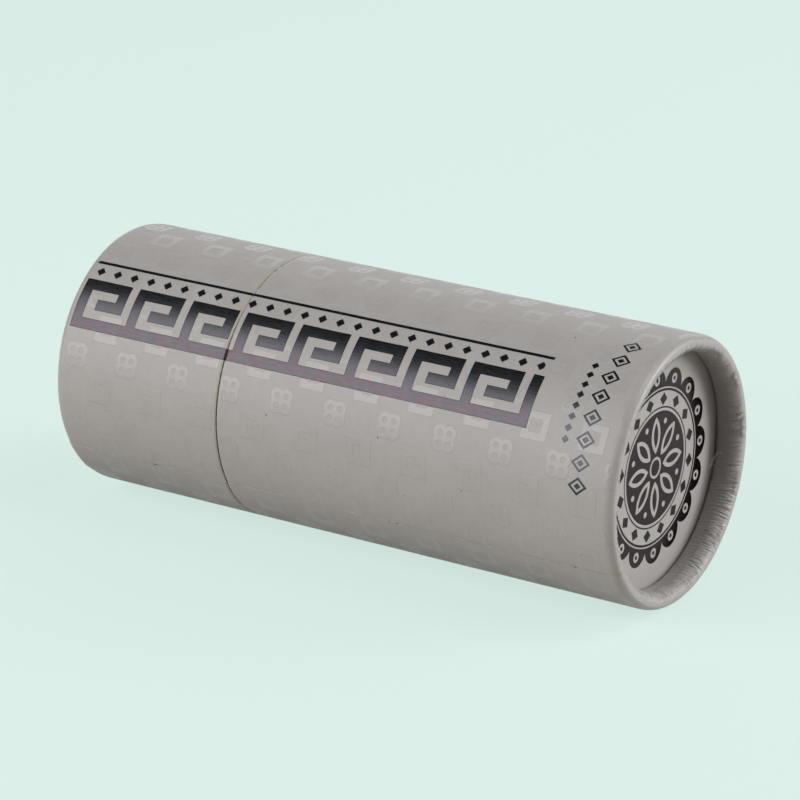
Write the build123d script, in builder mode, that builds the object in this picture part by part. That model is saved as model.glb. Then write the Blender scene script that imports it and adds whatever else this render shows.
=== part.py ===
"""Cylindrical gift tube box, lying on its side with the base end towards +X.

The base and the lid are lengths of one paper-wrapped board tube. The outer end of each is rolled
inwards over a recessed board disc. A thinner neck tube stands in the base, and the lid slides over
it until the two cut edges all but meet. The origin is under the middle of the tube, on the surface
that it lies on. All sizes are in millimetres.
"""

import math
import os

from build123d import *

# Outside sizes, and the gap left where the lid meets the base
tube_diameter = 50.0
base_length = 83.3
lid_length = 37.1
joint_gap = 0.2

# Wall of the outer tube and its printed paper, whose glued lap runs along the lower front
board_wall = 1.4
wrap_thickness = 0.15
lap_width = 8.0
lap_edge_angle = -29.0

# Rolled rim: the wall doubled back inside itself, with a narrow flat at its crest
rim_depth = 5.5
roll_gap = 0.2
rim_flat = 0.3
rim_toe = 0.9

# End discs: board between a printed face paper and a plain lining paper
disc_board = 1.5
disc_paper = 0.15
disc_clearance = 0.05

# Neck tube, glued into the base: board between two papers, with headroom left above its mouth
neck_board = 1.2
neck_paper = 0.15
neck_clearance = 0.2
neck_headroom = 4.0

# Radii that follow, from the outside in
tube_radius = tube_diameter / 2
board_radius = tube_radius - wrap_thickness
bore_radius = board_radius - board_wall
rim_thickness = 2 * (wrap_thickness + board_wall) + roll_gap
rim_radius = tube_radius - rim_thickness
rim_shoulder = (rim_thickness - rim_flat) / 2
disc_radius = bore_radius - disc_clearance
neck_radius = bore_radius - neck_clearance
neck_board_radius = neck_radius - neck_paper
neck_lining_radius = neck_board_radius - neck_board

# Depths that follow: the rim and the end disc behind it, and how far the neck stands in the lid
end_depth = rim_depth + disc_board + 2 * disc_paper
neck_reach = joint_gap + lid_length - end_depth - neck_headroom

# The tube's axis, and the plane through it that holds every section
tube_axis = Axis((0, 0, tube_radius), (1, 0, 0))
top_angle = 90.0
least_corner = (Align.MIN, Align.MIN)

# Each half's name, the place of its cut edge along X, the way its closed end points, its length
joint_x = (lid_length + joint_gap - base_length) / 2
base_half = ("base", joint_x, 1, base_length)
lid_half = ("lid", joint_x - joint_gap, -1, lid_length)


def section_plane(half, angle=top_angle):
    """The plane of a half's section: local x runs from its cut edge to its closed end, and local y
    is the radius at an angle that is 0 at the front of the tube and 90 at the top."""
    _, cut_edge, outward, _ = half
    turn = math.radians(angle)
    normal = (0, -outward * math.sin(turn), -outward * math.cos(turn))
    return Plane(origin=(cut_edge, 0, tube_radius), x_dir=(outward, 0, 0), z_dir=normal)


def band(start, end, inner, outer, mode=Mode.ADD):
    """A rectangle of the section, between two places along the tube and two radii."""
    with Locations((start, inner)):
        Rectangle(end - start, outer - inner, align=least_corner, mode=mode)


def rim_shape(toe, crest, inner, outer, skin, mode=Mode.ADD):
    """The rolled rim's section with a skin of that thickness taken off it all round."""
    with BuildLine() as outline:
        FilletPolyline(
            (toe + skin, outer - skin),
            (toe + skin, inner + skin),
            (crest - skin, inner + skin),
            (crest - skin, outer - skin),
            radius=[0, rim_toe - skin, rim_shoulder - skin, rim_shoulder - skin],
            close=True,
        )
    make_face(outline.edges(), mode=mode)


def write(piece, name):
    """Names a finished piece and writes its file."""
    piece.label = name
    export_step(piece, f"parts/{name}.step")


def write_tube(half):
    """The board tube of a half: a straight wall that ends in the rolled rim, with the gap that is
    left between the wall and the leg rolled back inside it."""
    name, _, _, length = half
    toe = length - rim_depth
    leg_foot = toe + wrap_thickness
    fold = length - wrap_thickness - board_wall
    with BuildPart() as tube:
        with BuildSketch(section_plane(half)):
            band(0, leg_foot, bore_radius, board_radius)
            rim_shape(toe, length, rim_radius, tube_radius, wrap_thickness)
            band(leg_foot, fold, bore_radius - roll_gap, bore_radius, Mode.SUBTRACT)
        revolve(axis=tube_axis)
    write(tube.part, f"{name}_tube")


def write_wrap(half):
    """The printed paper of a half: along the wall, over the rim, down inside it and under its toe.
    The sheet's end lies over its beginning in a lap, which stands one paper's thickness proud."""
    name, _, _, length = half
    toe = length - rim_depth
    leg_foot = toe + wrap_thickness
    lap_angle = math.degrees(lap_width / tube_radius)
    with BuildPart() as wrap:
        with BuildSketch(section_plane(half)):
            band(0, toe, board_radius, tube_radius)
            rim_shape(toe, length, rim_radius, tube_radius, 0)
            rim_shape(toe, length, rim_radius, tube_radius, wrap_thickness, Mode.SUBTRACT)
            band(toe, leg_foot, bore_radius - roll_gap, board_radius, Mode.SUBTRACT)
        revolve(axis=tube_axis)
        with BuildSketch(section_plane(half, lap_edge_angle)):
            band(0, length - rim_shoulder, board_radius, tube_radius + wrap_thickness)
        revolve(axis=tube_axis, revolution_arc=lap_angle)
    write(wrap.part, f"{name}_wrap")


def write_disc_layer(half, depth, thickness, layer_name):
    """One layer of a half's end disc, from a depth below the rim's crest inwards."""
    name, _, _, length = half
    face = length - depth
    with BuildPart() as layer:
        with BuildSketch(section_plane(half)):
            band(face - thickness, face, 0, disc_radius)
        revolve(axis=tube_axis)
    write(layer.part, f"{name}_{layer_name}")


def write_neck_layer(outer, thickness, name):
    """One layer of the neck tube, from the base disc's lining to the mouth inside the lid."""
    with BuildPart() as layer:
        with BuildSketch(section_plane(base_half)):
            band(-neck_reach, base_length - end_depth, outer - thickness, outer)
        revolve(axis=tube_axis)
    write(layer.part, name)


os.makedirs("parts", exist_ok=True)

for half in (base_half, lid_half):
    write_tube(half)
    write_wrap(half)
    write_disc_layer(half, rim_depth, disc_paper, "disc_face")
    write_disc_layer(half, rim_depth + disc_paper, disc_board, "disc")
    write_disc_layer(half, rim_depth + disc_paper + disc_board, disc_paper, "disc_lining")

write_neck_layer(neck_radius, neck_paper, "neck_cover")
write_neck_layer(neck_board_radius, neck_board, "neck_tube")
write_neck_layer(neck_lining_radius, neck_paper, "neck_lining")
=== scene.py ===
"""Looks of a cylindrical paperboard gift tube lying on its side, built round its fixed model.

The long base points towards +X and the short lid towards -X. Places are in metres. A printed sheet's
own map is in millimetres: along the tube, and round it from the front (0) over the top.
"""

import math

import bpy
import numpy as np
from mathutils import Matrix, Vector


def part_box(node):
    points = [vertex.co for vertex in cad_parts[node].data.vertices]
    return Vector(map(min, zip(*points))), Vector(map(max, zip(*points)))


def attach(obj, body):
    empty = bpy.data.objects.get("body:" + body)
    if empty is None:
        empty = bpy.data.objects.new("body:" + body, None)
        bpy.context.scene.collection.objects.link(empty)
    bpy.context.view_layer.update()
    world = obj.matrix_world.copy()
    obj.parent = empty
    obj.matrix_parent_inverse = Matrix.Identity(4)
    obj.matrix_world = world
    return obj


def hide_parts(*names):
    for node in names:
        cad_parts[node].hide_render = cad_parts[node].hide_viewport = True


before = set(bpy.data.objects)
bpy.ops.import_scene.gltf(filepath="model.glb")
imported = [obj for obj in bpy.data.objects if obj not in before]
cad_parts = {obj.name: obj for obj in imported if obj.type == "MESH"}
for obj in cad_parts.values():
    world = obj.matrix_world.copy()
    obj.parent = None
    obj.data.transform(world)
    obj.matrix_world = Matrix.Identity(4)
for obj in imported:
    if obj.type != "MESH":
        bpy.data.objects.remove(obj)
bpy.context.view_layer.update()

MM = 0.001

# Sizes of the box, read from its nodes
base_low, base_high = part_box("base_wrap")
lid_low, lid_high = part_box("lid_wrap")
board_low, board_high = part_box("base_tube")
TUBE_RADIUS = (base_high.z - base_low.z) / 2
AXIS_HEIGHT = (base_high.z + base_low.z) / 2
BOARD_RADIUS = (board_high.z - board_low.z) / 2
PAPER = TUBE_RADIUS - BOARD_RADIUS
DISC_FACE_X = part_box("base_disc_face")[1].x
RIM_DEPTH = base_high.x - DISC_FACE_X

# Sizes inside the wall, as the model has them
BOARD_WALL = 1.4 * MM
NECK_BOARD = 1.2 * MM
ROLL_GAP = 0.2 * MM
CREST_FLAT = 0.3 * MM
TOE_ROUND = 0.9 * MM
BORE_RADIUS = BOARD_RADIUS - BOARD_WALL
LEG_BACK = BORE_RADIUS - ROLL_GAP
RIM_WALL = 2 * (PAPER + BOARD_WALL) + ROLL_GAP
RIM_RADIUS = TUBE_RADIUS - RIM_WALL
SHOULDER = (RIM_WALL - CREST_FLAT) / 2

# The rim's soft form: how far its outer and inner curves reach along the tube, how far its crest lies
# outside the middle, and how far its leg is drawn out from the axis at the toe
SHOULDER_DEPTH = 2.1 * MM
CURL_DEPTH = 2.6 * MM
CREST_SHIFT = 0.32 * MM
LEG_DRAW = 0.25 * MM
TOE_CENTRE = LEG_DRAW + RIM_RADIUS + TOE_ROUND

# The glued lap of the printed sheet, by its angle from the front towards the top
LAP_EDGE = math.radians(-29.0)
LAP_ANGLE = 8.0 * MM / TUBE_RADIUS

# Each half: the body, the place of its cut edge, the way its closed end points, and its length
BASE = ("base", base_low.x, 1, base_high.x - base_low.x)
LID = ("lid", lid_high.x, -1, lid_high.x - lid_low.x)


def linear(hex_code):
    """An sRGB hex colour as the linear RGBA that a shader takes."""
    channels = [int(hex_code[i : i + 2], 16) / 255 for i in (1, 3, 5)]
    return [c / 12.92 if c <= 0.04045 else ((c + 0.055) / 1.055) ** 2.4 for c in channels] + [1.0]


def add(tree, kind, inputs=(), output=0, **settings):
    """Adds a node with its settings, fills or links its inputs, and returns one of its outputs. A Mix
    node takes its factor at 0, its numbers at 2 and 3 and its colours at 6 and 7, and gives the mixed
    colour at output 2."""
    node = tree.nodes.new("ShaderNode" + kind)
    for name, value in settings.items():
        setattr(node, name, value)
    for key, value in inputs.items() if isinstance(inputs, dict) else enumerate(inputs):
        if isinstance(value, bpy.types.NodeSocket):
            tree.links.new(value, node.inputs[key])
        else:
            node.inputs[key].default_value = value
    return node.outputs[output]


def material(name, **sockets):
    """A new material with a Principled shader: its node tree, and the shader to link things to."""
    made = bpy.data.materials.new(name)
    made.use_nodes = True
    shader = made.node_tree.nodes["Principled BSDF"]
    for key, value in sockets.items():
        shader.inputs[key.replace("_", " ")].default_value = value
    return made, made.node_tree, shader


# Surfaces turned about the tube's axis


def rounded(centre_u, centre_r, radius, start, stop, count, depth=None):
    """A round corner of a section: (u, r, facing) at angles turned from outwards to the closed end.
    With a depth along the tube it is part of an ellipse: u = centre + depth^2 sin(facing) / s and
    r = centre + radius^2 cos(facing) / s, with s^2 = (depth sin)^2 + (radius cos)^2."""
    facing = np.radians(np.linspace(start, stop, count))
    depth = radius if depth is None else depth
    size = np.hypot(depth * np.sin(facing), radius * np.cos(facing))
    along = depth**2 * np.sin(facing) / size
    across = radius**2 * np.cos(facing) / size
    return np.stack([centre_u + along, centre_r + across, facing])


def straight(start, stop, facing, steps):
    """A straight stretch of a section between two (u, r) points, facing one way, at given shares."""
    steps = np.asarray(steps, float)
    u = start[0] + (stop[0] - start[0]) * steps
    r = start[1] + (stop[1] - start[1]) * steps
    return np.stack([u, r, np.full(len(steps), math.radians(facing))])


def turned(name, half, section, angles, lift=None, sheet=None):
    """A closed ring: a closed section (u from the cut edge, r, facing) carried round the axis.

    Its points are x = cut + way u, y = -r cos a and z = axis + r sin a. Each point is first moved
    along the way it faces by lift[section, angle]. The map "sheet" holds sheet along the section
    and the arc at the tube's radius round it, in millimetres.
    """
    body, cut, way, _ = half
    u, r, facing = section
    lift = np.zeros((len(u), len(angles))) if lift is None else lift
    along = u[:, None] + lift * np.sin(facing)[:, None]
    radius = r[:, None] + lift * np.cos(facing)[:, None]
    places = np.stack(
        [
            cut + way * along,
            -radius * np.cos(angles),
            AXIS_HEIGHT + radius * np.sin(angles),
        ],
        axis=-1,
    )
    rows, columns = along.shape
    row, column = np.meshgrid(np.arange(rows), np.arange(columns), indexing="ij")
    corner_rows = np.stack([row, row + 1, row + 1, row], axis=-1).reshape(-1, 4)
    corner_columns = np.stack([column, column, column + 1, column + 1], axis=-1).reshape(-1, 4)
    if way < 0:
        corner_rows = corner_rows[:, ::-1]
        corner_columns = corner_columns[:, ::-1]
    corners = (corner_rows % rows) * columns + corner_columns % columns
    mesh = mesh_of(name, places.reshape(-1, 3), corners)
    if sheet is not None:
        round_angles = np.append(angles, angles[0] + 2 * math.pi)
        across = sheet[corner_rows % rows] / MM
        around = round_angles[corner_columns] * TUBE_RADIUS / MM
        layer = mesh.uv_layers.new(name="sheet")
        layer.uv.foreach_set("vector", np.stack([across, around], axis=-1).astype(np.float32).ravel())
    return piece_of(name, mesh, body)


def mesh_of(name, places, corners):
    """A smooth mesh of the given points and of faces that all have as many corners."""
    mesh = bpy.data.meshes.new(name)
    count, sides = corners.shape
    mesh.vertices.add(len(places))
    mesh.vertices.foreach_set("co", places.astype(np.float32).ravel())
    mesh.loops.add(count * sides)
    mesh.loops.foreach_set("vertex_index", corners.astype(np.int32).ravel())
    mesh.polygons.add(count)
    mesh.polygons.foreach_set("loop_start", np.arange(0, count * sides, sides, dtype=np.int32))
    mesh.polygons.foreach_set("use_smooth", np.ones(count, bool))
    mesh.update(calc_edges=True)
    mesh.validate()
    return mesh


def piece_of(name, mesh, body):
    """An object of a mesh that moves with a body."""
    piece = bpy.data.objects.new(name, mesh)
    bpy.context.scene.collection.objects.link(piece)
    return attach(piece, body)


def ring_angles(count):
    """Angles all round, starting at the lap's edge, with a close pair of them on each side of it."""
    full, hair = 2 * math.pi, 0.0006
    even = np.linspace(0, full, count, endpoint=False)
    return LAP_EDGE + np.concatenate([[0, hair], even[1:-2], [full - 2 * hair, full - hair]])


def waves(grid_a, grid_b, seed, count, low, high):
    """A smooth uneven field between -1 and 1: a sum of sine waves of random ways and starts."""
    random = np.random.default_rng(seed)
    rounds = random.integers(-high, high + 1, count)
    steps = random.uniform(low, high, count)
    starts = random.uniform(0, 2 * math.pi, count)
    total = sum(np.sin(k * grid_a + s * grid_b + p) for k, s, p in zip(rounds, steps, starts))
    return total / count


# The printed sheet that wraps a half, with its lap and the wrinkles inside its rolled rim


def rim_path(length, skin, wall_steps, fine):
    """A half's outer section from its cut edge along the wall, over the rim and down to its toe, with
    a skin of that thickness taken off it."""
    toe_start = length - RIM_DEPTH + TOE_ROUND
    shoulder = length - SHOULDER_DEPTH
    bend = length - CURL_DEPTH
    outer, leg = TUBE_RADIUS - skin, RIM_RADIUS + skin
    near, far = SHOULDER - CREST_SHIFT, SHOULDER + CREST_SHIFT
    return np.concatenate(
        [
            straight((0, outer), (shoulder, outer), 0, wall_steps),
            rounded(shoulder, TUBE_RADIUS - near, near - skin, 0, 90, fine, SHOULDER_DEPTH - skin)[:, 1:],
            rounded(bend, RIM_RADIUS + far, far - skin, 90, 180, fine, CURL_DEPTH - skin),
            straight((bend, leg), (toe_start, leg + LEG_DRAW), 180, np.linspace(0, 1, fine))[:, 1:],
            rounded(toe_start, TOE_CENTRE, TOE_ROUND - skin, 180, 270, fine // 2 + 1)[:, 1:],
        ],
        axis=1,
    )


def wrap_path(length, skin, wall_steps, fine):
    """The wrap's section from the cut edge along the wall, over the rim and under its toe."""
    toe = length - RIM_DEPTH + skin
    tuck = straight((toe, TOE_CENTRE), (toe, LEG_BACK), 270, [1.0])
    return np.concatenate([rim_path(length, skin, wall_steps, fine), tuck], axis=1)


def board(half, name, node):
    """The board tube of a half under its paper: the wall, the leg rolled back inside it, and the slot
    that is left between the two."""
    length = half[3]
    fold = length - PAPER - BOARD_WALL
    foot = length - RIM_DEPTH + PAPER
    soft = 0.12 * MM
    section = np.concatenate(
        [
            rim_path(length, PAPER, np.linspace(0, 1, 8), 7)[:, 1:],
            straight((foot, LEG_BACK), (fold, LEG_BACK), 0, [0, 1]),
            straight((fold, LEG_BACK), (fold, BORE_RADIUS), 270, [1.0]),
            straight((fold, BORE_RADIUS), (soft, BORE_RADIUS), 180, np.linspace(0, 1, 5)[1:]),
            rounded(soft, BORE_RADIUS + soft, soft, 180, 270, 4)[:, 1:],
            rounded(soft, BOARD_RADIUS - soft, soft, 270, 360, 4),
        ],
        axis=1,
    )
    piece = turned(name, half, section, ring_angles(256))
    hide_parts(node)
    return piece


def creases(s, angles, start, stop, seed):
    """Folds of the paper drawn in over the rim, as a depth to take off. Each is a narrow valley with
    its own angle, slant, length and depth, and most are fine and only some are deep."""
    random = np.random.default_rng(seed)
    count = 680
    centres = random.uniform(0, 2 * math.pi, count)
    widths = random.uniform(0.08, 0.16, count) * MM / RIM_RADIUS
    depths = (0.05 + 0.26 * random.uniform(0, 1, count) ** 2) * MM
    middles = start + (stop - start) * random.uniform(0.05, 0.85, count)
    reaches = (stop - start) * random.uniform(0.12, 0.42, count)
    slants = random.normal(0.08, 0.16, count) / RIM_RADIUS
    total = np.zeros((len(s), len(angles)))
    folds = zip(centres, widths, depths, middles, reaches, slants)
    for centre, width, depth, middle, reach, slant in folds:
        off = angles[None, :] - centre - slant * (s - middle)[:, None]
        off = (off + math.pi) % (2 * math.pi) - math.pi
        within = np.exp(-(((s - middle) / reach) ** 4))[:, None]
        total += depth * within * np.exp(-((off / width) ** 2))
    return total


def held_above(values, least, softness=0.015 * MM):
    """Values kept from falling below a least one, by a soft bend instead of a cut."""
    return least + softness * np.logaddexp(0, (values - least) / softness)


def wrap(half, name, node, seed):
    """The printed paper of a half: a thin closed sheet with a slightly uneven wall, a raised lap, a
    softened and slightly frayed cut edge, and wrinkles inside the rim."""
    _, cut, way, length = half

    # Rows of points lie close together by the cut edge, and then about 7 mm apart along the wall
    wall = length - SHOULDER_DEPTH
    near_edge = np.array([0, 0.06, 0.14, 0.26, 0.45, 0.8, 1.6]) * MM / wall
    wall_steps = np.append(near_edge, np.linspace(3.2 * MM / wall, 1, int(wall / (7 * MM))))
    outer = wrap_path(length, 0, wall_steps, 10)
    inner = wrap_path(length, PAPER, [0, 1], 3)[:, ::-1]
    section = np.concatenate([outer, inner], axis=1)
    angles = ring_angles(1536)
    u, r, facing = outer
    s = np.append(0, np.cumsum(np.hypot(np.diff(u), np.diff(r))))
    crest = s[np.searchsorted(facing, math.pi / 2 - 1e-6)]
    leg_end = s[np.searchsorted(facing, math.pi - 1e-6)]

    # The lap's edge is a clean step, and the sheet slopes gently off the far side of the lap
    past = (LAP_EDGE + 2 * math.pi - angles) / LAP_ANGLE
    lap = np.clip((1.25 - past) / 0.4, 0, 1)
    lap = lap * lap * (3 - 2 * lap) * PAPER
    on_wall = np.clip((crest - s) / SHOULDER, 0, 1)[:, None]
    over_rim = 1 - np.clip((s - crest) / (leg_end - crest), 0, 1)[:, None]
    lap_lift = lap[None, :] * np.maximum(on_wall, 0.45 * over_rim)

    # Past the crest the sheet is gathered: it swells, is finely pleated, and folds are pressed into it
    grid_s, grid_a = np.meshgrid(s / TUBE_RADIUS, angles, indexing="ij")
    begins = np.clip((s - crest - 0.15 * SHOULDER) / SHOULDER, 0, 1)
    ends = np.clip((leg_end + 0.6 * MM - s) / (0.8 * MM), 0, 1)
    folds = creases(s, angles, crest + 0.2 * SHOULDER, leg_end, seed + 1)
    pleats = 0.165 * MM * waves(grid_a, 0.4 * grid_s, seed + 4, 26, 110, 300)
    swell = 0.12 * MM * waves(grid_a, grid_s, seed + 2, 18, 8, 34)
    gathered = (begins * ends)[:, None] * held_above(swell + pleats - folds + 0.15 * MM, -0.05 * MM)

    # The wall strays a little, its rim lies lower, and its cut edge curls down onto the board
    stray = 0.044 * MM * waves(grid_a, grid_s, seed, 14, 2, 9) - 0.03 * MM
    rim_inset = 0.07 * MM * (1 - on_wall)
    curl = 0.1 * MM * np.exp(-((s / (0.16 * MM)) ** 2))[:, None]
    lift = lap_lift + stray - rim_inset - curl + gathered
    lift[-1] = 0

    # The cut edge stands a hair short of the board's at the front, unevenly, and a hair past it on top
    climb = np.clip((angles - math.radians(10)) / math.radians(50), 0, 1)
    climb = np.minimum(climb, np.clip((math.radians(195) - angles) / math.radians(40), 0, 1))
    on_top = climb * climb * (3 - 2 * climb)
    ragged = 0.03 * MM + 0.09 * MM * waves(angles, 0 * angles, seed + 3, 24, 20, 160)
    frayed = ragged - 0.085 * MM * on_top
    lift_all = np.concatenate([lift, np.zeros((inner.shape[1], len(angles)))])
    sheet = cut + way * np.append(s, inner[0])
    piece = turned(name, half, section, angles, lift_all, sheet)
    pull_back(piece, half, frayed, angles)
    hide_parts(node)
    return piece


def pull_back(piece, half, amount, angles):
    """Moves the points at a sheet's cut edge along the tube, by an amount that varies round it and
    fades out within a millimetre."""
    _, cut, way, _ = half
    fade = 0.4 * MM
    places = np.empty(len(piece.data.vertices) * 3, np.float32)
    piece.data.vertices.foreach_get("co", places)
    places = places.reshape(-1, len(angles), 3)
    depth = np.abs(places[..., 0] - cut)
    places[..., 0] += way * amount[None, :] * np.exp(-depth / fade)
    piece.data.vertices.foreach_set("co", places.ravel())
    piece.data.update()


# The neck and its papers, which show when the lid is drawn off


def tube_section(start, stop, inner, outer, soft):
    """The closed section of a plain tube whose four corners are softly rounded."""
    lengths = np.linspace(0, 1, 12)
    return np.concatenate(
        [
            straight((start + soft, outer), (stop - soft, outer), 0, lengths),
            rounded(stop - soft, outer - soft, soft, 0, 90, 4)[:, 1:],
            rounded(stop - soft, inner + soft, soft, 90, 180, 4),
            straight((stop - soft, inner), (start + soft, inner), 180, lengths)[:, 1:],
            rounded(start + soft, inner + soft, soft, 180, 270, 4)[:, 1:],
            rounded(start + soft, outer - soft, soft, 270, 360, 4)[:, :-1],
        ],
        axis=1,
    )


def neck_layer(node, thickness, soft, seed):
    """One layer of the neck, on its node's own size: a ring a hair uneven, as rolled board is."""
    low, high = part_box(node)
    outer = (high.z - low.z) / 2
    cut = BASE[1]
    section = tube_section(low.x - cut, high.x - cut, outer - thickness, outer, soft)
    angles = ring_angles(384)
    grid_u, grid_a = np.meshgrid(section[0] / TUBE_RADIUS, angles, indexing="ij")
    lift = 0.01 * MM * (waves(grid_a, grid_u, seed, 12, 2, 7) * 2 - 1)
    piece = turned(node + "_rolled", BASE, section, angles, lift, cut + section[0])
    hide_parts(node)
    return piece


# A few torn fibres that stand up from the sheet's edge at the rim's toe


def fibre(name, path, thickness):
    """One fibre: a thin closed tube of four sides that follows a path. Each point of the path is an
    angle from the front towards the top in degrees, a radius and a depth below the rim's crest in
    millimetres. A smooth curve goes through them, weighted as a Catmull-Rom spline is."""
    knots = np.array(path, float)
    knots = np.concatenate([2 * knots[:1] - knots[1:2], knots, 2 * knots[-1:] - knots[-2:-1]])
    before, start, stop, after = (knots[i : len(knots) - 3 + i, None] for i in range(4))
    t = np.linspace(0, 1, 6, endpoint=False)[:, None]
    curve = 0.5 * (
        2 * start
        + (stop - before) * t
        + (2 * before - 5 * start + 4 * stop - after) * t**2
        + (3 * start - before - 3 * stop + after) * t**3
    )
    line = np.concatenate([curve.reshape(-1, 3), knots[-2:-1]])
    turn = np.radians(line[:, 0])
    radius, depth = line[:, 1] * MM, line[:, 2] * MM
    centre = np.stack(
        [
            base_high.x - depth,
            -radius * np.cos(turn),
            AXIS_HEIGHT + radius * np.sin(turn),
        ],
        axis=-1,
    )
    way = np.gradient(centre, axis=0)
    way /= np.linalg.norm(way, axis=1)[:, None]
    side = np.cross(way, (1.0, 0.2, 0.1))
    side /= np.linalg.norm(side, axis=1)[:, None]
    up = np.cross(way, side)
    half = thickness / 2 * np.linspace(1, 0.5, len(centre))[:, None]
    corners = [centre + half * (a * side + b * up) for a, b in ((1, 1), (-1, 1), (-1, -1), (1, -1))]
    places = np.stack(corners, axis=1).reshape(-1, 3)
    last = (len(centre) - 1) * 4
    row, k = np.meshgrid(np.arange(0, last, 4), np.arange(4), indexing="ij")
    a, b = row + k, row + (k + 1) % 4
    sides = np.stack([a, b, b + 4, a + 4], axis=-1).reshape(-1, 4)
    faces = np.concatenate([sides, [[3, 2, 1, 0]], [[last, last + 1, last + 2, last + 3]]])
    return piece_of(name, mesh_of(name, places, faces), "base")


# The fibres seen at the foot's rim, each as its path
FIBRE_THICKNESS = 0.11 * MM
FIBRES = (
    (
        (190.4, 22.0, 3.7),
        (189.5, 21.6, 3.7),
        (189.3, 21.1, 3.9),
        (190.3, 20.9, 4.2),
        (191.8, 20.9, 4.5),
        (193.2, 20.9, 4.8),
    ),
    (
        (191.2, 21.2, 4.5),
        (193.6, 20.9, 4.8),
        (195.4, 20.9, 5.0),
        (197.0, 20.9, 5.2),
        (198.8, 21.2, 5.4),
    ),
    (
        (196.0, 21.5, 4.8),
        (196.6, 21.0, 5.1),
        (197.9, 20.7, 5.3),
    ),
)

# Materials

# Colours that serve more than once, and how many clumps of fibre lie on a millimetre of the sheets.
# The clumps are coarser than real ones, which would be too fine to show.
PAPER_GREY = "#A8A4A1"
ROOM_GREEN = "#DAEDE7"
CLUMPS_PER_MM = 0.55


def soft_edge(tree, distance, blur=0.07):
    """1 inside a shape, where the distance to it in millimetres is below 0, and 0 outside it, with a
    blurred edge between."""
    return add(tree, "Math", [distance, -1 / blur, 0.5], operation="MULTIPLY_ADD", use_clamp=True)


def combine(tree, operation, first, *others):
    """Several values taken together two by two."""
    for other in others:
        first = add(tree, "Math", [first, other], operation=operation)
    return first


def without(tree, shape, hole):
    """A shape with a hole taken out of it."""
    return combine(tree, "MAXIMUM", shape, add(tree, "Math", [hole, -1.0], operation="MULTIPLY"))


def rectangle(tree, u, v, low, high):
    """The distance to a rectangle of the sheet."""
    sides = []
    for place, start, stop in ((u, low[0], high[0]), (v, low[1], high[1])):
        off = add(tree, "Math", [place, (start + stop) / 2], operation="SUBTRACT")
        off = add(tree, "Math", [off], operation="ABSOLUTE")
        sides.append(add(tree, "Math", [off, (stop - start) / 2], operation="SUBTRACT"))
    return combine(tree, "MAXIMUM", *sides)


def repeated(tree, value, start, pitch):
    """A coordinate that begins again at every pitch, and is 0 in the middle of each repeat."""
    wrapped = add(tree, "Math", [value, start + pitch, start], operation="WRAP")
    return add(tree, "Math", [wrapped, start + pitch / 2], operation="SUBTRACT")


# Places on the sheet, in millimetres: the joint, the lap's edge, and about where the rim's crest lies
JOINT_MIDDLE = (base_low.x + lid_high.x) / 2 / MM
JOINT_HALF_GAP = (base_low.x - lid_high.x) / 2 / MM
LAP_START = LAP_EDGE * TUBE_RADIUS / MM
RIM_CREST = (base_high.x + SHOULDER * (math.pi / 2 - 1)) / MM

# The border along the tube: a key, and above it a row of beads under a rule
BORDER_START = -58.6
BORDER_STOP = 41.2
KEY_LOW = 12.2
KEY_HIGH = 22.2
KEY_REPEATS = 8
KEY_STROKE = 2.2
RULE_AT = 26.2
RULE_WIDTH = 0.62
BEADS_AT = 24.1
BEAD_PITCH = 3.85
BEAD_HALF = 0.95

# The two rows of lozenges near the foot: where each lies, where it begins and how often it repeats
ROW_COUNT = 8
SMALL_ROW = (49.2, 10.8, 2.1)
LARGE_ROW = (53.1, 2.2, 4.1)


def key_border(tree, u, v):
    """A Greek key: a base line that carries a hook in each repeat, all in strokes of one width."""
    gap = (KEY_HIGH - KEY_LOW - 3 * KEY_STROKE) / 2
    step = KEY_STROKE + gap
    pitch = (BORDER_STOP - BORDER_START - KEY_STROKE) / KEY_REPEATS
    left, inner_low = BORDER_START, KEY_LOW + step
    right = left + pitch - gap
    across = add(tree, "Math", [u, left + pitch, left], operation="WRAP")
    bars = [
        ((left - KEY_STROKE, KEY_LOW), (left + pitch + KEY_STROKE, KEY_LOW + KEY_STROKE)),
        ((left, KEY_LOW), (left + KEY_STROKE, KEY_HIGH)),
        ((left, KEY_HIGH - KEY_STROKE), (right, KEY_HIGH)),
        ((right - KEY_STROKE, inner_low), (right, KEY_HIGH)),
        ((left + 1.1 * step, inner_low), (right, inner_low + KEY_STROKE)),
    ]
    key = combine(tree, "MINIMUM", *[rectangle(tree, across, v, low, high) for low, high in bars])
    field = rectangle(tree, u, v, (BORDER_START, KEY_LOW), (BORDER_STOP, KEY_HIGH))
    return combine(tree, "MAXIMUM", key, field)


def lozenge(tree, u, v, half_u, half_v):
    """How far a place lies outside a lozenge about 0, 0, measured the way of v: it is
    |u| half_v / half_u + |v| - half_v."""
    across = add(tree, "Math", [u], operation="ABSOLUTE")
    across = add(tree, "Math", [across, half_v / half_u], operation="MULTIPLY")
    upward = add(tree, "Math", [v], operation="ABSOLUTE")
    reach = combine(tree, "ADD", across, upward)
    return add(tree, "Math", [reach, half_v], operation="SUBTRACT")


def row_of_lozenges(tree, u, v, row):
    """Places about the nearest lozenge of a row round the tube, and the distance to the row's field."""
    at, start, pitch = row
    local_u = add(tree, "Math", [u, at], operation="SUBTRACT")
    local_v = repeated(tree, v, start, pitch)
    field = rectangle(tree, u, v, (at - pitch, start), (at + pitch, start + ROW_COUNT * pitch))
    return local_u, local_v, field


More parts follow.
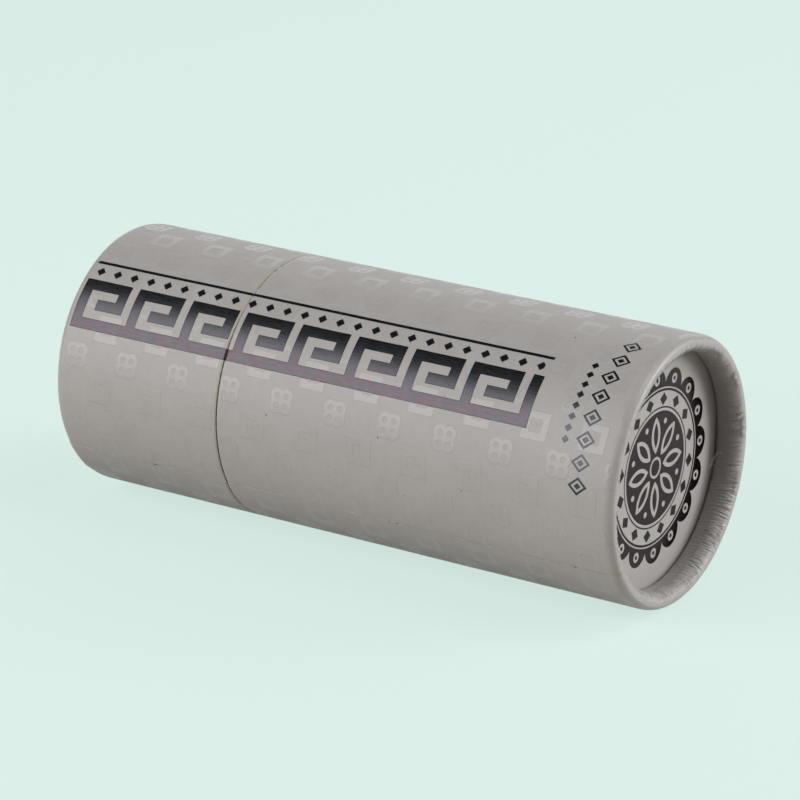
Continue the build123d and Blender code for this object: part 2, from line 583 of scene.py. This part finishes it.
def ornaments(tree, u, v):
    """The distance to the small stamped ornaments: the rule and its beads, and the two rows of
    lozenges near the foot, solid in the one and outlined round a solid heart in the other."""
    rule_low, rule_high = RULE_AT - RULE_WIDTH / 2, RULE_AT + RULE_WIDTH / 2
    rule = rectangle(tree, u, v, (BORDER_START, rule_low), (BORDER_STOP, rule_high))
    bead_u = repeated(tree, u, BORDER_START, BEAD_PITCH)
    bead_v = add(tree, "Math", [v, BEADS_AT], operation="SUBTRACT")
    beads = lozenge(tree, bead_u, bead_v, BEAD_HALF, BEAD_HALF)
    bead_field = rectangle(tree, u, v, (BORDER_START + 1, KEY_HIGH), (BORDER_STOP - 1, RULE_AT))
    beads = combine(tree, "MAXIMUM", beads, bead_field)
    local_u, local_v, field = row_of_lozenges(tree, u, v, SMALL_ROW)
    small = combine(tree, "MAXIMUM", lozenge(tree, local_u, local_v, 0.75, 0.75), field)
    local_u, local_v, field = row_of_lozenges(tree, u, v, LARGE_ROW)
    inset, half_line = 0.3, 0.26
    outline = add(tree, "Math", [lozenge(tree, local_u, local_v, 1.95, 1.7), inset], operation="ADD")
    outline = add(tree, "Math", [outline], operation="ABSOLUTE")
    outline = add(tree, "Math", [outline, half_line], operation="SUBTRACT")
    heart = lozenge(tree, local_u, local_v, 0.7, 0.6)
    large = combine(tree, "MAXIMUM", combine(tree, "MINIMUM", outline, heart), field)
    return combine(tree, "MINIMUM", rule, beads, small, large)


def gloss_motifs(tree, u, v):
    """Where clear gloss lies on the matt sheet: quatrefoils with an open eye, and squares with a small
    quatrefoil left out, set like the two colours of a chequerboard."""
    cell, start_u, start_v = 5.8, 31.3, 1.4
    half, eye = 2.6, 0.55
    masks = []
    for shift, spread, size in ((0, 0.95, 1.45), (cell, 0.62, 0.66)):
        local_u = repeated(tree, u, start_u + shift, 2 * cell)
        local_v = repeated(tree, v, start_v + shift, 2 * cell)
        folded_places = []
        for local in (local_u, local_v):
            off = add(tree, "Math", [local], operation="ABSOLUTE")
            folded_places.append(add(tree, "Math", [off, spread], operation="SUBTRACT"))
        place = add(tree, "CombineXYZ", folded_places)
        length = add(tree, "VectorMath", [place], output="Value", operation="LENGTH")
        petals = add(tree, "Math", [length, size], operation="SUBTRACT")
        if shift:
            square = rectangle(tree, local_u, local_v, (-half, -half), (half, half))
            masks.append(without(tree, square, petals))
        else:
            eyes = add(tree, "Math", [length, eye], operation="SUBTRACT")
            masks.append(without(tree, petals, eyes))
    return combine(tree, "MINIMUM", *masks)


def band_mask(tree, value, low, high, blur):
    """1 where a value lies between two limits, fading to 0 past them."""
    rising = add(tree, "MapRange", [value, low - blur, low + blur, 0.0, 1.0])
    falling = add(tree, "MapRange", [value, high - blur, high + blur, 1.0, 0.0])
    return combine(tree, "MULTIPLY", rising, falling)


def bare_core_and_highlight(tree, u, v):
    """Where the white core of the paper shows along the two cut edges at the joint as a hairline, and a
    broad pale streak on the base's edge near the top, a painted highlight where the raised edge catches
    the light."""
    off = add(tree, "Math", [u, JOINT_MIDDLE], operation="SUBTRACT")
    off = add(tree, "Math", [off], operation="ABSOLUTE")
    from_cut = add(tree, "Math", [off, JOINT_HALF_GAP], operation="SUBTRACT")
    along = add(tree, "CombineXYZ", [0.0, v])
    uneven = add(tree, "TexNoise", {"Vector": along, "Scale": 0.9, "Detail": 3.0})
    # Painted highlight: the broad streak near the top, where the base's raised edge catches the light
    top_highlight = band_mask(tree, v, 32, 43, 2.0)
    on_base = band_mask(tree, u, JOINT_MIDDLE, 0, 0.01)
    streak = combine(tree, "MULTIPLY", top_highlight, on_base)
    width = add(tree, "MapRange", [uneven, 0.42, 0.66, -0.04, 0.06])
    broad = add(tree, "MapRange", [uneven, 0.40, 0.54, -0.02, 0.24])
    width = add(tree, "Mix", {0: streak, 2: width, 3: broad})
    return soft_edge(tree, combine(tree, "SUBTRACT", from_cut, width))


def scuffs(tree, u, v):
    """Small brown rubs on the crest of the rims, where the box has stood."""
    shortened = add(tree, "Math", [u, 0.5], operation="MULTIPLY")
    place = add(tree, "CombineXYZ", [shortened, v])
    uneven = add(tree, "TexNoise", {"Vector": place, "Scale": 1.1, "Detail": 4.0, "Roughness": 0.7})
    rubs = add(tree, "MapRange", [uneven, 0.66, 0.72, 0.0, 0.55])
    size = add(tree, "Math", [u], operation="ABSOLUTE")
    return combine(tree, "MULTIPLY", rubs, band_mask(tree, size, RIM_CREST - 1.0, RIM_CREST + 0.5, 0.3))


def lap_line(tree, u, v):
    """The cut edge of the lapped sheet, as masks and their tones: a faint brown hairline that turns
    yellow over the rim, with dark dashes and a few pale spots of bare core."""
    girth = 2 * math.pi * TUBE_RADIUS / MM
    from_edge = add(tree, "Math", [repeated(tree, v, LAP_START - girth / 2, girth)], operation="ABSOLUTE")
    size = add(tree, "Math", [u], operation="ABSOLUTE")
    on_rim = add(tree, "MapRange", [size, RIM_CREST - 5.0, RIM_CREST - 3.0, 0.0, 1.0])
    layers = []

    # Each row: its place in the noise, the noise's range that widens it, its width, share and tone
    for row, low, high, width, share, tone in (
        (7.0, 0.12, 0.60, 0.07, 0.5, "#756D62"),
        (19.0, 0.58, 0.66, 0.20, 0.85, "#4E463E"),
        (31.0, 0.68, 0.74, 0.13, 0.4, "#C4BCAC"),
    ):
        along = add(tree, "CombineXYZ", [u, row])
        uneven = add(tree, "TexNoise", {"Vector": along, "Scale": 0.5, "Detail": 5.0, "Roughness": 0.75})
        reach = add(tree, "MapRange", [uneven, low, high, -0.1, width])
        mask = soft_edge(tree, combine(tree, "SUBTRACT", from_edge, reach))
        layers.append((add(tree, "Math", [mask, share], operation="MULTIPLY"), tone))
    rim_edge = soft_edge(tree, add(tree, "Math", [from_edge, 0.09], operation="SUBTRACT"))
    rim_edge = combine(tree, "MULTIPLY", rim_edge, on_rim)
    layers.append((add(tree, "Math", [rim_edge, 0.6], operation="MULTIPLY"), "#B0A47F"))
    return layers


def specks(tree, u, v):
    """A few tiny dark specks in the paper, each at random in some of the cells of a wide net."""
    cell = 6.0
    place = add(tree, "CombineXYZ", [u, v])
    cells = add(tree, "TexVoronoi", {"Vector": place, "Scale": 1 / cell}, voronoi_dimensions="2D").node
    distance = add(tree, "Math", [cells.outputs["Distance"], cell], operation="MULTIPLY")
    chance = add(tree, "SeparateXYZ", [cells.outputs["Color"]])
    size = add(tree, "MapRange", [chance, 0.72, 1.0, -0.1, 0.16])
    return soft_edge(tree, combine(tree, "SUBTRACT", distance, size))


def sheet_colour(tree, place, u, v, size, outline):
    """The colour between the ornaments: printed grey with marks of the lap's edge, specks, scuffs, an
    aged edge at the joint, a painted shade along the gloss pattern's outline and a painted shade deep
    inside the rim, all faintly mottled."""
    aged = band_mask(tree, u, JOINT_MIDDLE - 0.4, JOINT_MIDDLE, 0.2)
    aged = add(tree, "Math", [aged, 0.5], operation="MULTIPLY")
    # Painted shade: the sheet darkens towards the toe, deep in the rim's recess, where shade falls
    recess_shade = add(tree, "MapRange", [size, RIM_CREST + 1.5, RIM_CREST + 5.0, 0.0, 0.5])
    marks = [
        *lap_line(tree, u, v),
        (specks(tree, u, v), "#4A443E"),
        (scuffs(tree, u, v), "#7D7264"),
        (aged, "#A5977A"),
        (outline, "#8F8A84"),
        (recess_shade, "#868480"),
    ]
    paper = linear(PAPER_GREY)
    for mask, tone in marks:
        paper = add(tree, "Mix", {0: mask, 6: paper, 7: linear(tone)}, 2, data_type="RGBA")
    clumps = {"Vector": place, "Scale": CLUMPS_PER_MM, "Detail": 6.0, "Roughness": 0.62}
    fibres = add(tree, "MapRange", [add(tree, "TexNoise", clumps), 0.3, 0.7, 0.965, 1.035])
    clouds = add(tree, "TexNoise", {"Vector": place, "Scale": 0.07, "Detail": 2.0})
    clouds = add(tree, "MapRange", [clouds, 0.3, 0.7, 0.98, 1.02])
    mottle = combine(tree, "MULTIPLY", fibres, clouds)
    return add(tree, "Mix", {0: 1.0, 6: paper, 7: mottle}, 2, data_type="RGBA", blend_type="MULTIPLY")


def foil_colour(tree, place, u, v, stamped, brushed):
    """The stamped foil's colour: streaked, with a painted shade that darkens it within a fifth of a
    millimetre of its edge, and rubbed to a faint red in flecks, gathered along the border's low edge
    where they catch the front light, as a painted glint."""
    stretched = add(tree, "VectorMath", [place, (0.75, 1.5, 1.0)], operation="MULTIPLY")
    rubbed = add(tree, "TexNoise", {"Vector": stretched, "Scale": 1.3, "Detail": 4.0, "Roughness": 0.7})
    flecks = add(tree, "MapRange", [rubbed, 0.5, 0.62, 0.0, 1.0])
    # Painted glint: the flecks gather along the low edge, where the foil mirrors the front light
    glint_band = add(tree, "MapRange", [v, KEY_LOW + 2.0, KEY_LOW + 6.0, 0.9, 0.15])
    on_border = add(tree, "Math", [u, BORDER_STOP + 1.0], operation="LESS_THAN")
    flecks = combine(tree, "MULTIPLY", flecks, glint_band, on_border)
    tones = {0: flecks, 6: linear("#424347"), 7: linear("#5A3C40")}
    mirror = add(tree, "Mix", tones, 2, data_type="RGBA")
    streaks = add(tree, "MapRange", [brushed, 0.3, 0.7, 0.76, 1.2])
    # Painted shade: the foil is darker within a fifth of a millimetre of its edge
    foil_edge_shade = add(tree, "MapRange", [stamped, -0.2, -0.04, 1.0, 0.4])
    streaks_and_edge_shade = combine(tree, "MULTIPLY", streaks, foil_edge_shade)
    return add(tree, "Mix", {0: 1.0, 6: mirror, 7: streaks_and_edge_shade}, 2, data_type="RGBA", blend_type="MULTIPLY")


def laminated_paper():
    """Art paper printed warm grey and laminated matt: a satin sheet with a faint mottle of fibres
    under the film. Clear gloss picks out the pattern. The border and the ornaments are hot-stamped in a
    black foil, dark and mirror-like. The paper's white core shows where its edges are cut and worn, and a
    painted highlight lies on the base's edge near the top."""
    made, tree, shader = material("laminated_printed_paper")
    place = add(tree, "UVMap", uv_map="sheet")
    separate = add(tree, "SeparateXYZ", [place]).node
    u, v = separate.outputs[0], separate.outputs[1]
    size = add(tree, "Math", [u], operation="ABSOLUTE")

    # Where the foil and the clear gloss lie, the gloss's outline of painted shade, and the foil's long
    # streaks
    stamped = combine(tree, "MINIMUM", key_border(tree, u, v), ornaments(tree, u, v))
    foil = soft_edge(tree, stamped)
    bare = add(tree, "Math", [1.0, foil], operation="SUBTRACT")
    motifs = gloss_motifs(tree, u, v)
    gloss = combine(tree, "MULTIPLY", soft_edge(tree, motifs, 0.1), bare)
    # Painted shade: a darker line along the gloss's edge, where the gloss dims the sheet's sheen
    outline = add(tree, "Math", [motifs], operation="ABSOLUTE")
    outline = add(tree, "Math", [outline, 0.07], operation="SUBTRACT")
    outline = combine(tree, "MULTIPLY", soft_edge(tree, outline, 0.1), bare, 0.22)
    brushed = add(tree, "VectorMath", [place, (0.35, 2.6, 1.0)], operation="MULTIPLY")
    brushed = add(tree, "TexNoise", {"Vector": brushed, "Scale": 1.2, "Detail": 4.0, "Roughness": 0.75})

    paper = sheet_colour(tree, place, u, v, size, outline)
    mirror = foil_colour(tree, place, u, v, stamped, brushed)
    colour = add(tree, "Mix", {0: foil, 6: paper, 7: mirror}, 2, data_type="RGBA")
    # The pale core on the cut edges, with the painted highlight on the base's edge near the top
    worn = {0: bare_core_and_highlight(tree, u, v), 6: colour, 7: linear("#D9D5CC")}
    colour = add(tree, "Mix", worn, 2, data_type="RGBA")
    tree.links.new(colour, shader.inputs["Base Color"])
    tree.links.new(foil, shader.inputs["Metallic"])

    # The film is smoother where it is drawn tight over the rim, under clear gloss and on the foil
    in_rim = add(tree, "MapRange", [size, RIM_CREST - 0.5, RIM_CREST + 1.4, 0.0, 1.0])
    drawn = add(tree, "MapRange", [size, RIM_CREST - 2.8, RIM_CREST - 1.4, 0.54, 0.33])
    drawn = add(tree, "MapRange", [in_rim, 0.0, 1.0, drawn, 0.28])
    rough = add(tree, "Mix", {0: gloss, 2: drawn, 3: 0.33})
    streaks = add(tree, "MapRange", [brushed, 0.3, 0.7, 0.24, 0.34])
    rough = add(tree, "Mix", {0: foil, 2: rough, 3: streaks})
    tree.links.new(rough, shader.inputs["Roughness"])

    # Relief: gloss stands up from the grain, foil is streaked, and the sheet is gathered in the rim
    grain = add(tree, "TexNoise", {"Vector": place, "Scale": 2.2, "Detail": 3.0, "Roughness": 0.7})
    raised = add(tree, "Math", [gloss, 3.0, grain], operation="MULTIPLY_ADD")
    gathers = add(tree, "VectorMath", [place, (0.3, 2.6, 1.0)], operation="MULTIPLY")
    gathers = add(tree, "TexNoise", {"Vector": gathers, "Scale": 1.0, "Detail": 3.0, "Roughness": 0.6})
    height = add(tree, "Mix", {0: foil, 2: raised, 3: brushed})
    height = add(tree, "Mix", {0: in_rim, 2: height, 3: gathers})
    deep = add(tree, "MapRange", [in_rim, 0.0, 1.0, 0.03 * MM, 1.1 * MM])
    bump = add(tree, "Bump", {"Strength": 0.35, "Distance": deep, "Height": height})
    tree.links.new(bump, shader.inputs["Normal"])
    return made


def ring_distance(tree, radius, middle, width):
    """The distance to a ring of a given middle radius and width."""
    off = add(tree, "Math", [radius, middle], operation="SUBTRACT")
    off = add(tree, "Math", [off], operation="ABSOLUTE")
    return add(tree, "Math", [off, width / 2], operation="SUBTRACT")


def folded(tree, angle, radius, count, turn=0.0):
    """Places along and across the nearest of a number of spokes, as if all the others lay on it."""
    half = math.pi / count
    turned_angle = add(tree, "Math", [angle, turn], operation="ADD")
    off = add(tree, "Math", [turned_angle, half, -half], operation="WRAP")
    along = add(tree, "Math", [radius, add(tree, "Math", [off], operation="COSINE")], operation="MULTIPLY")
    across = add(tree, "Math", [radius, add(tree, "Math", [off], operation="SINE")], operation="MULTIPLY")
    return along, across


def disc_from(tree, along, across, centre, offset, size):
    """The distance to a circle of a given size that lies on a spoke, or beside it by the offset."""
    step = add(tree, "Math", [along, centre], operation="SUBTRACT")
    side = add(tree, "Math", [add(tree, "Math", [across], operation="ABSOLUTE"), offset], operation="ADD")
    place = add(tree, "CombineXYZ", [step, side])
    length = add(tree, "VectorMath", [place], output="Value", operation="LENGTH")
    return add(tree, "Math", [length, size], operation="SUBTRACT")


def rosette(tree, angle, radius):
    """A round ornament, in millimetres from its middle: pale petals with a vein and dots between them
    on a dark ground with an eye, a ring of lozenges between thin rings, and scallops with a dot each."""
    petals, scallops = 8, 16
    petal_half, petal_side, petal_middle = 3.45, 1.55, 6.1
    dot_middle, gem_middle, scallop_middle, opening_middle = 8.6, 12.55, 15.2, 16.35
    ground_edge, scallop_start = 10.4, 14.75

    along, across = folded(tree, angle, radius, petals)
    bow = (petal_half**2 + petal_side**2) / (2 * petal_side)
    petal = disc_from(tree, along, across, petal_middle, bow - petal_side, bow)
    vein = add(tree, "Math", [petal, 0.75], operation="ADD")
    along, across = folded(tree, angle, radius, petals, math.pi / petals)
    dot = disc_from(tree, along, across, dot_middle, 0.0, 0.55)
    eye = ring_distance(tree, radius, 1.75, 0.5)
    ground = add(tree, "Math", [radius, ground_edge], operation="SUBTRACT")
    for hole in (petal, dot, eye):
        ground = without(tree, ground, hole)

    along, across = folded(tree, angle, radius, scallops, math.pi / scallops)
    along = add(tree, "Math", [along, gem_middle], operation="SUBTRACT")
    gem = lozenge(tree, along, across, 1.2, 1.35)
    inner_ring = ring_distance(tree, radius, 11.05, 0.3)
    outer_ring = ring_distance(tree, radius, 14.25, 0.45)

    along, across = folded(tree, angle, radius, scallops)
    scallop = disc_from(tree, along, across, scallop_middle, 0.0, 3.05)
    within = add(tree, "Math", [scallop_start, radius], operation="SUBTRACT")
    scallop = combine(tree, "MAXIMUM", scallop, within)
    scallop = without(tree, scallop, disc_from(tree, along, across, opening_middle, 0.0, 0.95))
    centre_dot = disc_from(tree, along, across, opening_middle, 0.0, 0.4)
    return combine(tree, "MINIMUM", ground, vein, gem, inner_ring, outer_ring, scallop, centre_dot)


def mottled(tree, place, tone, scale, dark, light, detail=6.0, roughness=0.62):
    """A tone that clumps of fibre darken and lighten, and the clumps' own uneven field."""
    clumps = {"Vector": place, "Scale": scale, "Detail": detail, "Roughness": roughness}
    fibres = add(tree, "TexNoise", clumps)
    sockets = {0: 1.0, 6: linear(tone), 7: add(tree, "MapRange", [fibres, 0.3, 0.7, dark, light])}
    return add(tree, "Mix", sockets, 2, data_type="RGBA", blend_type="MULTIPLY"), fibres


def plain_laminate():
    """The same warm grey laminated sheet with nothing printed on it."""
    made, tree, shader = material("laminated_plain_paper", Roughness=0.42)
    place = add(tree, "TexCoord", output="Object")
    colour, _ = mottled(tree, place, PAPER_GREY, CLUMPS_PER_MM / MM, 0.965, 1.035)
    tree.links.new(colour, shader.inputs["Base Color"])
    return made


def medallion_paper():
    """The sheet on the foot's disc, with its ornament stamped in a smooth dark foil, which mirrors the
    pale room in the middle and the dark rim beside it."""
    made, tree, shader = material("laminated_medallion_paper")
    place = add(tree, "TexCoord", output="Object")
    parts = add(tree, "SeparateXYZ", [place]).node
    across = add(tree, "Math", [parts.outputs[1], 1 / MM], operation="MULTIPLY")
    upward = add(tree, "Math", [parts.outputs[2], AXIS_HEIGHT], operation="SUBTRACT")
    upward = add(tree, "Math", [upward, 1 / MM], operation="MULTIPLY")
    angle = add(tree, "Math", [upward, across], operation="ARCTAN2")
    flat = add(tree, "CombineXYZ", [across, upward])
    radius = add(tree, "VectorMath", [flat], output="Value", operation="LENGTH")
    foil = soft_edge(tree, rosette(tree, angle, radius))
    paper, _ = mottled(tree, place, PAPER_GREY, CLUMPS_PER_MM / MM, 0.965, 1.035)
    colour = add(tree, "Mix", {0: foil, 6: paper, 7: linear("#33181F")}, 2, data_type="RGBA")
    tree.links.new(colour, shader.inputs["Base Color"])
    tree.links.new(foil, shader.inputs["Metallic"])
    rough = add(tree, "Mix", {0: foil, 2: 0.42, 3: 0.16})
    tree.links.new(rough, shader.inputs["Roughness"])
    return made


def wound_board(name, tone):
    """Greyboard wound from plies of recycled paper: matt, mottled by clumps of fibre of 0.9 mm, with
    the plies of 0.35 mm showing as fine rings where it is cut."""
    made, tree, shader = material(name, Roughness=0.9)
    place = add(tree, "TexCoord", output="Object")
    moved = add(tree, "Mapping", {"Vector": place, "Location": (0, 0, -AXIS_HEIGHT)})
    across = add(tree, "VectorMath", [moved, (0, 1, 1)], operation="MULTIPLY")
    radius = add(tree, "VectorMath", [across], output="Value", operation="LENGTH")
    ply = 0.35 * MM
    plies = add(tree, "Math", [radius, 2 * math.pi / ply], operation="MULTIPLY")
    plies = add(tree, "Math", [plies], operation="SINE")
    rings = add(tree, "MapRange", [plies, -1.0, 1.0, 0.93, 1.04])
    board_colour, fibres = mottled(tree, place, tone, 1.1 / MM, 0.86, 1.1, 5.0, 0.65)
    sockets = {0: 1.0, 6: board_colour, 7: rings}
    colour = add(tree, "Mix", sockets, 2, data_type="RGBA", blend_type="MULTIPLY")
    tree.links.new(colour, shader.inputs["Base Color"])
    bump = add(tree, "Bump", {"Strength": 0.5, "Distance": 0.05 * MM, "Height": fibres})
    tree.links.new(bump, shader.inputs["Normal"])
    return made


def uncoated_paper(name, tone):
    """Uncoated wood-free paper: matt and near white, with clumps of fibre of 1.1 mm just showing."""
    made, tree, shader = material(name, Roughness=0.85)
    place = add(tree, "TexCoord", output="Object")
    colour, fibres = mottled(tree, place, tone, 0.9 / MM, 0.95, 1.03, 5.0, 0.6)
    tree.links.new(colour, shader.inputs["Base Color"])
    bump = add(tree, "Bump", {"Strength": 0.3, "Distance": 0.03 * MM, "Height": fibres})
    tree.links.new(bump, shader.inputs["Normal"])
    return made


def dress(item, made):
    """Gives an object one material, in place of what it had."""
    item.data.materials.clear()
    item.data.materials.append(made)


paper_print = laminated_paper()
for half, name, node, seed in ((BASE, "base_paper", "base_wrap", 11), (LID, "lid_paper", "lid_wrap", 47)):
    dress(wrap(half, name, node, seed), paper_print)

greyboard = wound_board("wound_greyboard", "#8A7D6E")
white = uncoated_paper("uncoated_white_paper", "#D8D4CA")
dress(board(BASE, "base_board", "base_tube"), greyboard)
dress(board(LID, "lid_board", "lid_tube"), greyboard)
for name in ("base_disc", "lid_disc"):
    dress(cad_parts[name], greyboard)
for name in ("base_disc_lining", "lid_disc_lining"):
    dress(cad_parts[name], white)
dress(neck_layer("neck_tube", NECK_BOARD, 0.2 * MM, 61), greyboard)
dress(neck_layer("neck_cover", PAPER, 0.05 * MM, 62), white)
dress(neck_layer("neck_lining", PAPER, 0.05 * MM, 63), white)
dress(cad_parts["base_disc_face"], medallion_paper())
dress(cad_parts["lid_disc_face"], plain_laminate())
for number, path in enumerate(FIBRES, start=1):
    dress(fibre(f"torn_fibre_{number}", path, FIBRE_THICKNESS), white)

# The floor, the light and the camera

LAMP_DISTANCE = 1.2


def showing_rays(tree):
    """The rays that show the room: 1 for those straight from the camera or through something clear,
    1 for those mirrored in gloss, and 1 for both kinds."""
    rays = add(tree, "LightPath").node
    through, mirrored = rays.outputs["Is Transmission Ray"], rays.outputs["Is Glossy Ray"]
    straight_on = combine(tree, "MAXIMUM", rays.outputs["Is Camera Ray"], through)
    return straight_on, mirrored, combine(tree, "MAXIMUM", straight_on, mirrored)


def plain_floor():
    """A wide floor that shows pale green, and fainter in gloss, while it lights the box as warm grey.
    The part of the green that doesn't glow keeps the box's shadow."""
    made, tree, shader = material("pale_floor", Roughness=0.9)
    _, mirrored, seen = showing_rays(tree)
    green = linear(ROOM_GREEN)
    colour = add(tree, "Mix", {0: seen, 6: linear("#BAB1AB"), 7: green}, 2, data_type="RGBA")
    tree.links.new(colour, shader.inputs["Base Color"])
    glow = add(tree, "Emission", {"Color": green, "Strength": 1.05})
    share = add(tree, "Mix", {0: mirrored, 2: 0.8, 3: 0.26})
    share = add(tree, "Math", [seen, share], operation="MULTIPLY")
    shown = add(tree, "MixShader", {0: share, 1: shader.outputs[0], 2: glow})
    tree.links.new(shown, tree.nodes["Material Output"].inputs["Surface"])
    mesh = bpy.data.meshes.new("floor")
    reach = 3.0
    corners = [(-reach, -reach, 0), (reach, -reach, 0), (reach, reach, 0), (-reach, reach, 0)]
    mesh.from_pydata(corners, [], [(0, 1, 2, 3)])
    mesh.materials.append(made)
    floor = bpy.data.objects.new("floor", mesh)
    bpy.context.scene.collection.objects.link(floor)


def softbox(name, azimuth, elevation, width, height, radiance):
    """An area lamp a set way off the box, turned to face it, of an even radiance. Azimuth 0 is in
    front of the box, and 90 is off its foot."""
    turn, rise = math.radians(azimuth), math.radians(elevation)
    way = Vector((math.sin(turn) * math.cos(rise), -math.cos(turn) * math.cos(rise), math.sin(rise)))
    data = bpy.data.lights.new(name, "AREA")
    data.shape = "RECTANGLE"
    data.size = width
    data.size_y = height
    data.energy = radiance * width * height * math.pi
    item = bpy.data.objects.new(name, data)
    bpy.context.scene.collection.objects.link(item)
    item.visible_camera = False
    stand = Vector((0, 0, AXIS_HEIGHT)) + way * LAMP_DISTANCE
    item.matrix_world = Matrix.Translation(stand) @ way.to_track_quat("Z", "Y").to_matrix().to_4x4()


def world_light(strength):
    """A soft grey surround that lights the box, and shows in the floor's green, fainter in gloss."""
    world = bpy.data.worlds.new("surround")
    bpy.context.scene.world = world
    world.use_nodes = True
    tree = world.node_tree
    straight_on, mirrored, seen = showing_rays(tree)
    back = tree.nodes["Background"]
    colour = add(tree, "Mix", {0: seen, 6: (1, 1, 1, 1), 7: linear(ROOM_GREEN)}, 2, data_type="RGBA")
    tree.links.new(colour, back.inputs["Color"])
    level = add(tree, "Mix", {0: straight_on, 2: strength, 3: 1.0})
    level = add(tree, "Mix", {0: mirrored, 2: level, 3: 0.12})
    tree.links.new(level, back.inputs["Strength"])


# The camera, as fitted to the outline in the 800 x 800 photograph, in tube radii
CAMERA_AZIMUTH = math.radians(32.99)
CAMERA_ELEVATION = math.radians(20.233)
CAMERA_DISTANCE_RADII = 28.203
AIM_RIGHT_RADII = 0.0266
AIM_UP_RADII = 0.0689
FOCAL_PIXELS = 3815.55
IMAGE_PIXELS = 800


def set_camera():
    """The camera on its fitted place, looking square along its own axis."""
    flat = math.cos(CAMERA_ELEVATION)
    ahead, aside = math.cos(CAMERA_AZIMUTH), math.sin(CAMERA_AZIMUTH)
    back = Vector((aside * flat, -ahead * flat, math.sin(CAMERA_ELEVATION)))
    right = Vector((ahead, aside, 0))
    up = back.cross(right)
    middle = Vector(((base_high.x + lid_low.x) / 2, 0, AXIS_HEIGHT))
    reach = right * AIM_RIGHT_RADII + up * AIM_UP_RADII + back * CAMERA_DISTANCE_RADII
    place = middle + TUBE_RADIUS * reach
    data = bpy.data.cameras.new("camera")
    data.sensor_width = 36
    data.lens = FOCAL_PIXELS / IMAGE_PIXELS * data.sensor_width
    data.clip_start = 0.05
    data.clip_end = 20
    camera = bpy.data.objects.new("camera", data)
    bpy.context.scene.collection.objects.link(camera)
    camera.matrix_world = Matrix.Translation(place) @ Matrix((right, up, back)).transposed().to_4x4()
    bpy.context.scene.camera = camera


# Each softbox's name, its azimuth and elevation, its width and height, and its radiance
SOFTBOXES = (
    ("front_softbox", -33, 26, 1.15, 0.95, 3.9),
    ("front_edge", 2, 18, 0.25, 0.6, 1.3),
    ("foot_low", 120, 5, 0.48, 0.34, 8.6),
    ("foot_middle", 120, 25, 0.48, 0.34, 8.6),
    ("foot_high", 120, 45, 0.48, 0.34, 2.2),
    ("foot_inner", 124, 8, 0.30, 0.42, 2.6),
    ("foot_side", 148, 25, 0.48, 0.34, 2.6),
    ("foot_side_high", 148, 45, 0.48, 0.34, 0.5),
    ("foot_front", 95, 25, 0.48, 0.34, 1.9),
    ("top_softbox", 99, 66, 0.42, 0.42, 4.2),
    ("back_softbox", 209, 20, 1.0, 0.85, 1.2),
)

plain_floor()
world_light(0.04)
for lamp in SOFTBOXES:
    softbox(*lamp)
set_camera()
bpy.context.scene.view_settings.view_transform = "Standard"
